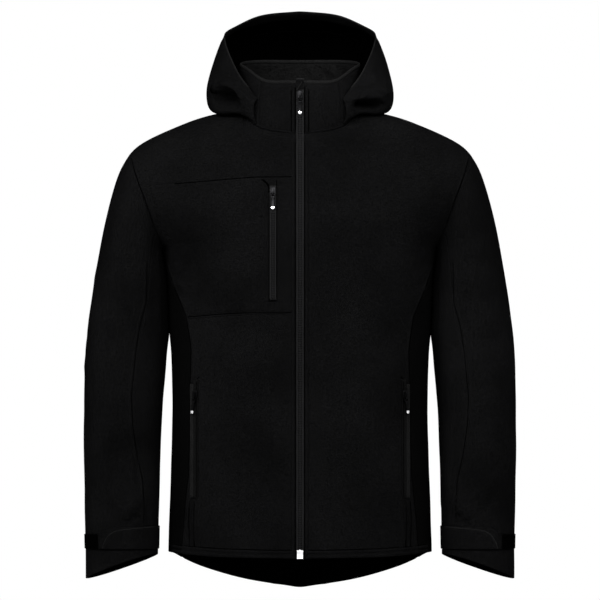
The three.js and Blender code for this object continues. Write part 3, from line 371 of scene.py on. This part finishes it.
# Cloth has a dark and a light tone, threads and the bump's strength; metal a colour and roughness
MATERIALS = {
    "shell": cloth_material("shell_cloth", grey(0.0005), (0.0026, 0.0026, 0.0027), 900.0, 0.9),
    # Edge-band cloth, lighter than the shell: a painted highlight where edges catch the light
    "binding": cloth_material("binding_cloth", grey(0.0012), grey(0.0042), 1100.0, 0.6),
    # Side panel cloth, darker than the shell: partly its own tone, partly painted shade where the
    # sides turn from the light
    "stretch": cloth_material("stretch_cloth", grey(0.0003), grey(0.0007), 1500.0, 0.25),
    "fleece": cloth_material("fleece_backing", grey(0.0001), grey(0.0034), 300.0, 1.0),
    # Inside of body, sleeves and hood: the collar's fleece made near black, as painted shade
    "shaded_inside": cloth_material("inside_painted_shade", grey(0.00005), grey(0.0001), 700.0, 0.3),
    # Near black cloth for strips along seams and in zip gaps: painted shade
    "seam_shade": cloth_material("seam_shadow", grey(0.00005), grey(0.0001), 700.0, 0.2),
    "tape": cloth_material("zip_tape", grey(0.0020), (0.0052, 0.0052, 0.0054), 1300.0, 0.6),
    "covered_tape": cloth_material("covered_tape", grey(0.0009), grey(0.0024), 1300.0, 0.6),
    "loop": cloth_material("loop_tape", grey(0.0001), grey(0.0003), 700.0, 0.9),
    "thread": cloth_material("sewing_thread", grey(0.0016), grey(0.0042), 2600.0, 0.3),
    "dark": metal_material("dark_metal", (0.0034, 0.0034, 0.0036), 0.3),
    "bright": metal_material("bright_metal", (0.66, 0.66, 0.67), 0.28),
}

# Distance within which the corners of a CAD node's triangles are joined
CORNER_GAP = 0.02 * MM


def cleaned(name):
    """A copy of a CAD node as a mesh being edited, its corners joined and triangles paired."""
    mesh = bmesh.new()
    mesh.from_mesh(nodes[name].data)
    bmesh.ops.remove_doubles(mesh, verts=mesh.verts, dist=CORNER_GAP)
    bmesh.ops.join_triangles(
        mesh, faces=mesh.faces, angle_face_threshold=0.5, angle_shape_threshold=1.0
    )
    return mesh


def as_object(mesh, name, materials):
    """A new object from an edited mesh, smooth shaded."""
    data = bpy.data.meshes.new(name)
    mesh.to_mesh(data)
    mesh.free()
    for key in materials:
        data.materials.append(MATERIALS[key])
    for face in data.polygons:
        face.use_smooth = True
    obj = bpy.data.objects.new(name, data)
    bpy.context.scene.collection.objects.link(obj)
    return obj


def subdivided(obj, levels):
    """The object's mesh with subdivision applied."""
    modifier = obj.modifiers.new("refine", "SUBSURF")
    modifier.levels = levels
    modifier.render_levels = levels
    graph = bpy.context.evaluated_depsgraph_get()
    data = bpy.data.meshes.new_from_object(obj.evaluated_get(graph))
    obj.modifiers.clear()
    return data


def refined(obj, levels):
    """The object subdivided, its corners first moved out so that the cloth doesn't shrink."""
    first = subdivided(obj, levels)
    for corner, shrunk in zip(obj.data.vertices, first.vertices):
        corner.co += corner.co - shrunk.co
    obj.data = subdivided(obj, levels)
    bpy.data.meshes.remove(first)
    return obj


def sharp_edges(mesh, limit):
    """The edges where two faces meet at more than the limit, in radians."""
    return [e for e in mesh.edges if len(e.link_faces) == 2 and e.calc_face_angle(0) > limit]


def crease_borders(mesh, limit, amount):
    """Keeps the sharp edges of a cloth piece crisp when it is subdivided."""
    layers = mesh.edges.layers.float
    layer = layers.get("crease_edge") or layers.new("crease_edge")
    for edge in sharp_edges(mesh, limit):
        edge[layer] = amount


def close_centre_seam(data, reach=1.2 * MM, left_open=0.1):
    """Draws the sewn centre edges of a hood half together."""
    for vertex in data.vertices:
        if abs(vertex.co.x) < reach:
            vertex.co.x *= left_open


# Material numbers of a cloth piece: its face cloth, the fleece of the collar, the inside elsewhere
# in painted shade. A face that looks inward by more than the share is inside
FACE_CLOTH, FLEECE, SHADED_INSIDE = 0, 1, 2
INWARD = -0.2


def side_of(group, face):
    """Which material a face of the cloth has: insides away from the collar get painted shade.
    The hood's turned hem stays face cloth.
    """
    if face.normal.dot(outward(group, face.center)) > INWARD:
        return FACE_CLOTH
    if group == "hood" and behind_rim(face.center) < HOOD_HEM:
        return FACE_CLOTH
    return FLEECE if group == "collar" else SHADED_INSIDE


def add_cloth(name):
    """The look of one cloth node: refined and creased, with its inside marked."""
    group, material, flat, area = CLOTH[name]
    mesh = cleaned(name)
    crease_borders(mesh, limit=0.8, amount=0.75)
    obj = refined(as_object(mesh, name + "_cloth", [material, "fleece", "shaded_inside"]), levels=2)
    if group == "hood":
        close_centre_seam(obj.data)
    for vertex in obj.data.vertices:
        vertex.co += outward(group, vertex.co) * raised(group, vertex.co)
    if material in ("shell", "stretch"):
        for face in obj.data.polygons:
            face.material_index = side_of(group, face)
    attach(obj, "jacket")
    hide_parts(name)
    return obj


# Metal pieces: the radius of their edges, and the height of a pull's bead
ROUNDING = 0.25 * MM
BEAD_HEIGHT = 4.4 * MM


def rounded(name):
    """A copy of a hard CAD node as a mesh being edited, its edges rounded."""
    mesh = cleaned(name)
    bmesh.ops.dissolve_limit(mesh, angle_limit=0.02, verts=mesh.verts, edges=mesh.edges)
    bmesh.ops.bevel(
        mesh, geom=sharp_edges(mesh, limit=0.6), offset=ROUNDING, offset_type="OFFSET",
        segments=2, affect="EDGES", profile=0.5, clamp_overlap=True,
    )
    return mesh


def add_metal(mesh, name, body, materials):
    """The look of one hard node, from its rounded mesh."""
    obj = as_object(mesh, name + "_metal", materials)
    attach(obj, body)
    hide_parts(name)
    return obj


def add_pull(name):
    """A pull tab on its own body: dark, with a bright bead at its foot."""
    mesh = rounded(name)
    bead_top = min(vertex.co.z for vertex in mesh.verts) + BEAD_HEIGHT
    everything = mesh.verts[:] + mesh.edges[:] + mesh.faces[:]
    bmesh.ops.bisect_plane(mesh, geom=everything, plane_co=(0, 0, bead_top), plane_no=(0, 0, 1))
    obj = add_metal(mesh, name, name, ["dark", "bright"])
    for face in obj.data.polygons:
        face.material_index = int(face.center.z < bead_top)


cloths = {name: add_cloth(name) for name in CLOTH}
for zip_name in ZIPS:
    slider = zip_name + "_slider"
    add_metal(rounded(slider), slider, "jacket", ["dark"])
    add_pull(zip_name + "_pull")
add_metal(rounded("centre_zip_box"), "centre_zip_box", "jacket", ["bright"])

# Sewing is laid on the cloth, found by looking straight at it from the front or the back
FRONT, BACK = -1, 1


def tree_of(*names):
    """A search tree over the faces of the named cloth pieces."""
    points, faces = [], []
    for name in names:
        data = cloths[name].data
        start = len(points)
        points += [v.co.copy() for v in data.vertices]
        faces += [[start + i for i in face.vertices] for face in data.polygons]
    return BVHTree.FromPolygons(points, faces)


def on_surface(tree, place, side):
    """Point and facing of the surface at a place in millimetres, seen from front or back."""
    x, z = place
    hit, normal, _, _ = tree.ray_cast(Vector((x * MM, side, z * MM)), Vector((0, -side, 0)))
    if hit is None:
        return None
    return hit, normal


def evenly(places, spacing):
    """Places set evenly along a bent line given by its corners, in millimetres."""
    found = []
    left = 0.0
    for (x0, z0), (x1, z1) in zip(places, places[1:]):
        length = math.hypot(x1 - x0, z1 - z0)
        at = left
        while at < length:
            found.append((x0 + (x1 - x0) * at / length, z0 + (z1 - z0) * at / length))
            at += spacing
        left = at - length
    return found


def surface_runs(tree, places, spacing, side):
    """The line laid on the surface, as runs of points and facings without jumps."""
    jump = 3 * spacing * MM
    runs = [[]]
    for place in evenly(places, spacing):
        spot = on_surface(tree, place, side)
        last = runs[-1][-1] if runs[-1] else None
        if spot is None or (last and (spot[0] - last[0]).length > jump):
            runs.append([])
        if spot is not None:
            runs[-1].append(spot)
    return [run for run in runs if len(run) > 1]


def add_dash(mesh, start, end, facing, width, height):
    """One stitch or zip gap: a slim ridge from start to end that stands on the cloth."""
    along = (end - start).normalized()
    across = along.cross(facing).normalized() * width / 2
    middle = (start + end) / 2
    ends = [mesh.verts.new(p) for p in (start, middle + across, end, middle - across)]
    top = mesh.verts.new(middle + facing * height)
    foot = mesh.verts.new(middle - facing * height)
    for i in range(4):
        mesh.faces.new((ends[i], ends[(i + 1) % 4], top))
        mesh.faces.new((ends[(i + 1) % 4], ends[i], foot))


def add_small_parts(mesh, name, material):
    """Makes one piece of all the small parts drawn in a mesh."""
    obj = as_object(mesh, name, [material])
    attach(obj, "jacket")


THREAD_WIDTH = 0.6 * MM
THREAD_HEIGHT = 0.3 * MM


def add_sewing(name, tree, lines, side=FRONT, spacing=3.1, share=0.66):
    """All the stitches of one seam group as one piece, each a share of its spacing long."""
    mesh = bmesh.new()
    for places in lines:
        for run in surface_runs(tree, places, spacing, side):
            for (point, facing), (following, _) in zip(run, run[1:]):
                end = point + (following - point) * share
                add_dash(mesh, point, end, facing, THREAD_WIDTH, THREAD_HEIGHT)
    add_small_parts(mesh, name, "thread")


# Rolls are rounded across: where their rows of points lie, how deep they sit, how uneven they are
ROLL_SHARES = (-1, -0.7, -0.25, 0.25, 0.7, 1)
ROLL_SPACING = 5
ROLL_SUNK = 0.15
ROLL_UNEVEN = 0.25
ROLL_NOISE = 90


def roll_row(mesh, run, i, width, height):
    """One row of points across a roll, at place i of its run."""
    point, facing = run[i]
    along = run[min(i + 1, len(run) - 1)][0] - run[max(i - 1, 0)][0]
    across = along.cross(facing).normalized() * width * MM / 2
    full = height * (1 + ROLL_UNEVEN * noise.noise(point * ROLL_NOISE))
    return [
        mesh.verts.new(point + across * t + facing * (full * (1 - t * t) - ROLL_SUNK) * MM)
        for t in ROLL_SHARES
    ]


def add_rolls(name, tree, lines, width, height, side=FRONT, material="shell"):
    """Soft raised edges: the turned cloth along a seam, or a dark strip of painted shade beside it.
    """
    mesh = bmesh.new()
    for places in lines:
        for run in surface_runs(tree, places, ROLL_SPACING, side):
            rows = [roll_row(mesh, run, i, width, height) for i in range(len(run))]
            for low, high in zip(rows, rows[1:]):
                for k in range(len(ROLL_SHARES) - 1):
                    mesh.faces.new((low[k], low[k + 1], high[k + 1], high[k]))
    bmesh.ops.recalc_face_normals(mesh, faces=mesh.faces)
    add_small_parts(mesh, name, material)


# Gaps between zip teeth in painted shade: their size, and where in each pitch they start and end
GAP_WIDTH = 1.9 * MM
GAP_HEIGHT = 0.5 * MM
GAP_START, GAP_END = 0.1, 0.55


def add_teeth(name, tree, foot, top, reach, pitch):
    """Coil teeth up the middle of a zip: gaps in painted shade between slanted pairs that meet like
    a plait.
    """
    mesh = bmesh.new()
    for run in surface_runs(tree, [foot, top], pitch, FRONT):
        for (point, facing), (following, _) in zip(run, run[1:]):
            up = (following - point).normalized()
            across = up.cross(facing).normalized() * reach * MM
            start = point + up * GAP_START * pitch * MM
            for hand in (-1, 1):
                end = point + across * hand + up * GAP_END * pitch * MM
                add_dash(mesh, start, end, facing, GAP_WIDTH, GAP_HEIGHT)
    add_small_parts(mesh, name, "seam_shade")


def mirrored(places):
    return [(-x, z) for x, z in places]


def moved(places, dx, dz):
    return [(x + dx, z + dz) for x, z in places]


def upright(x, start, end):
    return [(x, start), (x, end)]


def level(z, start, end):
    return [(start, z), (end, z)]


def both_sides(*lines):
    """The lines and their mirror images."""
    return [*lines, *[mirrored(places) for places in lines]]


front = tree_of("front_left", "front_yoke_right", "chest_pocket_panel", "front_lower_right",
                "side_panel_left", "side_panel_right")
sleeves = tree_of("sleeve_top_left", "sleeve_top_right", "sleeve_under_left", "sleeve_under_right")
cuffs = tree_of("cuff_tab_left", "cuff_tab_right", "cuff_end_left", "cuff_end_right")
collar = tree_of("collar_front_left", "collar_front_right", "collar_back")
rear = tree_of("back", "side_panel_left", "side_panel_right")
hood = tree_of("hood_left", "hood_right")
centre_band = tree_of("centre_zip_band")
chest_band = tree_of("chest_zip_band")
hand_bands = tree_of("hand_pocket_zip_left", "hand_pocket_zip_right")

# Seams and edges in millimetres as seen from the front, on the wearer's left
SIDE_SEAM = [(206, -248), (194, -283), (175, -328), (167.5, -380), (169, -418), (170, -496),
             (172, -573), (178, -628), (183, -690)]
YOKE_SEAM = [(8, -112.6), (70, -113), (120, -117), (165, -121), (194, -123)]
POCKET_SEAM = [(8, -321.6), (80, -321.6), (120, -323.5), (174, -328)]
ARMHOLE = [(261, -82), (255, -104), (247, -127), (239, -147), (231, -170), (223, -194),
           (214, -216)]
INNER_ARMHOLE = [(240, -70), (233, -82), (228, -104), (220, -132), (214, -155), (212, -186),
                 (209, -220)]
HEM = [(8, -699), (60, -698.6), (120, -697), (170, -694), (200, -691)]
BACK_HEM = [(0, -750), (40, -746), (78, -738), (116, -727), (155, -715), (200, -693)]
BACK_NECK = [(0, 0.5), (30, -1), (60, -4), (84, -10)]
FRONT_NECK = [(10, -56), (20, -52), (44, -49), (62, -44.5), (72, -38)]
COLLAR_BASE = [(8, -49), (16, -47.5), (40, -44.5), (56, -41), (68, -36)]
SLEEVE_SEAM = [(236, -243), (237, -305), (247, -341), (253, -380), (260, -450), (258, -496),
               (251, -543), (243, -578), (240, -620), (241, -648)]
TAB_EDGE = [(306, -684), (304, -676), (300, -668), (294, -661), (284, -656.5), (260, -653.5),
            (224, -651)]
TAB_FOOT = [(306, -684.5), (226, -684.5)]
CUFF_EDGE = [(328, -722), (300, -713), (262, -700), (224, -690)]
HOOD_RIM = [(118, 106), (115.5, 93), (111, 80.6), (105, 66.7), (97.5, 51), (90, 38.8), (77, 23)]
HOOD_TOP = [(0, 118), (40, 117), (76, 110)]
FRONT_EDGE = upright(10.4, -694, -56)
COLLAR_EDGE = upright(10.2, -44, 28)

# Pockets: the hand pocket on the wearer's left, and the chest zip with the cloth over its top
POCKET_MOUTH = [(155, -420), (159, -425), (163, -437), (162.8, -520), (163, -606)]
POCKET_FOOT = [(163, -612), (164, -640), (163, -684)]
HAND_ZIP_X = 159.6
CHEST_ZIP_X = -41.5
CHEST_ZIP_HALF = 5.7
CHEST_ZIP_FOOT = -303
GARAGE = [(-59, -117), (-52, -122), (-48.5, -128), (-47.5, -142)]

# Rolled edges, each beside its seam: moved from it by millimetres across and up
EDGE_ROLL = {"width": 4.6, "height": 1.5}
SEAM_ROLL = {"width": 3.2, "height": 0.8}
HEM_ROLL = {"width": 4.6, "height": 1.0}
add_rolls("front_edge_rolls", front, both_sides(FRONT_EDGE), **EDGE_ROLL)
add_rolls("collar_edge_rolls", collar, both_sides(COLLAR_EDGE), **EDGE_ROLL)
add_rolls("front_seam_rolls", front, [
    moved(mirrored(YOKE_SEAM), 0, 1.9),
    moved(mirrored(POCKET_SEAM), 0, -2.1),
    *both_sides(moved(SIDE_SEAM, -2.2, 0), moved(ARMHOLE, -2.6, -1)),
], **SEAM_ROLL)
add_rolls("sleeve_seam_rolls", sleeves, both_sides(moved(SLEEVE_SEAM, 2.4, 0)), **SEAM_ROLL)
add_rolls("collar_base_rolls", collar, both_sides(moved(COLLAR_BASE, 0, 4.2)), **SEAM_ROLL)
add_rolls("hem_rolls", front, both_sides(moved(HEM, 0, 2.4), moved(HEM, 0, 9)), **HEM_ROLL)
add_rolls("back_hem_rolls", rear, both_sides(
    moved(BACK_HEM, 0, 2.4),
    moved(BACK_HEM, 0, 10),
), side=BACK, **HEM_ROLL)
# The tab edges and the hood rim get the lighter edge cloth as a painted highlight line
add_rolls("tab_edge_rolls", cuffs, both_sides(moved(TAB_EDGE, -1.4, -1.2)),
          width=2.2, height=0.8, material="binding")
add_rolls("hood_rim_rolls", hood, both_sides(HOOD_RIM), width=2.6, height=0.9, material="binding")
add_rolls("pocket_foot_rolls", front, both_sides(moved(POCKET_FOOT, 4, 0)), width=5, height=1.4)

# The folded flap of cloth over the front zip's top
add_rolls("zip_top_flap", centre_band, [upright(0, 38, 21)], width=12.5, height=1.6)
add_rolls("zip_top_fold", centre_band, [[(-5, 21), (5, 37)]],
          width=2.6, height=3.2, material="binding")

# Dark strips of painted shade along seams and edges, where one cloth goes under another
add_rolls("front_seam_shadows", front, [
    mirrored(YOKE_SEAM),
    mirrored(POCKET_SEAM),
    GARAGE,
    moved(GARAGE, 1.2, 0.6),
    upright(CHEST_ZIP_X + CHEST_ZIP_HALF, -118, CHEST_ZIP_FOOT),
    upright(CHEST_ZIP_X - CHEST_ZIP_HALF, -142, CHEST_ZIP_FOOT),
    level(CHEST_ZIP_FOOT - 0.6, -50, -33),
    *both_sides(SIDE_SEAM, ARMHOLE, moved(HEM, 0, 12.4), POCKET_MOUTH),
    *both_sides(POCKET_FOOT, moved(POCKET_FOOT, 7.5, 0)),
], width=1.9, height=0.35, material="seam_shade")
add_rolls("zip_side_shadows", front, both_sides(upright(7.2, -694, -56)),
          width=1.3, height=0.4, material="seam_shade")
add_rolls("front_edge_shadows", front, both_sides(upright(13.9, -690, -54)),
          width=0.8, height=0.25, material="seam_shade")
add_rolls("collar_seam_shadows", collar, both_sides(
    upright(7.4, -44, 30),
    upright(13.6, -44, 26),
    moved(COLLAR_BASE, 0, 1.5),
), width=2.0, height=0.4, material="seam_shade")
add_rolls("sleeve_seam_shadows", sleeves, both_sides(
    SLEEVE_SEAM,
    moved(TAB_EDGE, 1.2, 1.2),
    level(-663, 330, 308),
), width=1.3, height=0.3, material="seam_shade")
add_rolls("cuff_seam_shadows", cuffs, both_sides(level(-687.4, 332, 222)),
          width=1.3, height=0.5, material="seam_shade")

# Stitching, beside its seams in the same way
add_sewing("front_stitches", front, [
    moved(mirrored(YOKE_SEAM), 0, 5),
    moved(mirrored(POCKET_SEAM), 0, -5),
    *both_sides(upright(14, -694, -52), moved(SIDE_SEAM, -4.2, 0), moved(HEM, 0, 12.6)),
    *both_sides(INNER_ARMHOLE, FRONT_NECK),
])
add_sewing("back_stitches", rear, both_sides(
    moved(BACK_HEM, 0, 13),
    moved(SIDE_SEAM[1:], -4.2, 0),
    moved(ARMHOLE, -4.4, -2),
    BACK_NECK,
), side=BACK)
sleeve_lines = both_sides(moved(SLEEVE_SEAM, 4.2, 0))
add_sewing("sleeve_stitches", sleeves, sleeve_lines)
add_sewing("sleeve_back_stitches", sleeves, sleeve_lines, side=BACK)
add_sewing("tab_stitches", cuffs, both_sides(moved(TAB_EDGE, -3.2, -3), TAB_FOOT))
add_sewing("cuff_stitches", cuffs, both_sides(CUFF_EDGE))
add_sewing("collar_stitches", collar, both_sides(upright(14, -42, 27), level(27, 14, 50)))
add_sewing("hood_stitches", hood, both_sides(HOOD_TOP))
add_sewing("chest_zip_stitches", front, [upright(-34.6, -112, -302), upright(-49, -126, -304)])

# Bars of close stitches end the pocket zips
add_sewing("bar_tacks", front, [
    level(-304, -50, -34),
    level(-305.2, -50, -34),
    *both_sides(level(-606, 155, 163), level(-424, 155, 163)),
], spacing=1.1, share=0.95)

# Zip teeth, drawn as painted shade in the gaps between them
add_teeth("centre_zip_teeth", centre_band, (0, -684), (0, -16), reach=3.8, pitch=3.6)
add_teeth("chest_zip_teeth", chest_band, (CHEST_ZIP_X, -300), (CHEST_ZIP_X, -166),
          reach=3.4, pitch=3.6)
for hand, zip_x in zip(HANDS, (HAND_ZIP_X, -HAND_ZIP_X)):
    add_teeth("hand_zip_teeth_" + hand, hand_bands, (zip_x, -605), (zip_x, -426),
              reach=1.5, pitch=2.0)

# Floor, light and camera, in metres
FLOOR_Z = -0.95
FLOOR_HALF = 1.5
MIDDLE = Vector((0, 0, -0.302))
CHEST = Vector((0, 0, -0.15))
CAMERA_DISTANCE = 14
CAMERA_LENS = 542


def add_floor():
    """A plain pale floor under the object."""
    mesh = bmesh.new()
    corners = [(-1, -1), (1, -1), (1, 1), (-1, 1)]
    mesh.faces.new([mesh.verts.new((x * FLOOR_HALF, y * FLOOR_HALF, FLOOR_Z)) for x, y in corners])
    mat, tree, shader = new_material("floor_paint")
    place = add_node(tree, "ShaderNodeTexCoord")
    mottle = add_node(tree, "ShaderNodeTexNoise", Scale=3.0)
    tree.links.new(place.outputs["Object"], mottle.inputs["Vector"])
    paint = shaded(tree, mottle.outputs["Fac"], grey(0.78), grey(0.8))
    tree.links.new(paint, shader.inputs["Base Color"])
    MATERIALS["floor"] = mat
    as_object(mesh, "floor", ["floor"])


def add_light(name, place, aim, size, power):
    """A square soft light that looks at a place."""
    data = bpy.data.lights.new(name, "AREA")
    data.size = size
    data.energy = power
    obj = bpy.data.objects.new(name, data)
    obj.location = place
    obj.rotation_euler = (aim - Vector(place)).to_track_quat("-Z", "Y").to_euler()
    bpy.context.scene.collection.objects.link(obj)


def add_world():
    """Even white surroundings."""
    world = bpy.data.worlds.new("studio")
    world.use_nodes = True
    background = world.node_tree.nodes["Background"]
    background.inputs["Color"].default_value = (1, 1, 1, 1)
    background.inputs["Strength"].default_value = 1.0
    bpy.context.scene.world = world
    bpy.context.scene.view_settings.view_transform = "Standard"


def add_camera():
    """A distant camera that looks level at the middle of the front."""
    data = bpy.data.cameras.new("camera")
    data.lens = CAMERA_LENS
    data.sensor_width = 36
    data.clip_end = 100
    camera = bpy.data.objects.new("camera", data)
    camera.location = (0, -CAMERA_DISTANCE, MIDDLE.z)
    camera.rotation_euler = (math.pi / 2, 0, 0)
    bpy.context.scene.collection.objects.link(camera)
    bpy.context.scene.camera = camera


add_floor()
add_light("left", (-1.7, -1.5, 1.25), MIDDLE, size=1.0, power=155)
add_light("right", (1.7, -1.5, 1.25), MIDDLE, size=1.0, power=130)
add_light("front", (-0.1, -1.35, 0.95), CHEST, size=0.8, power=78)
add_light("back", (0.3, 2.4, 0.9), MIDDLE, size=1.6, power=70)
add_world()
add_camera()
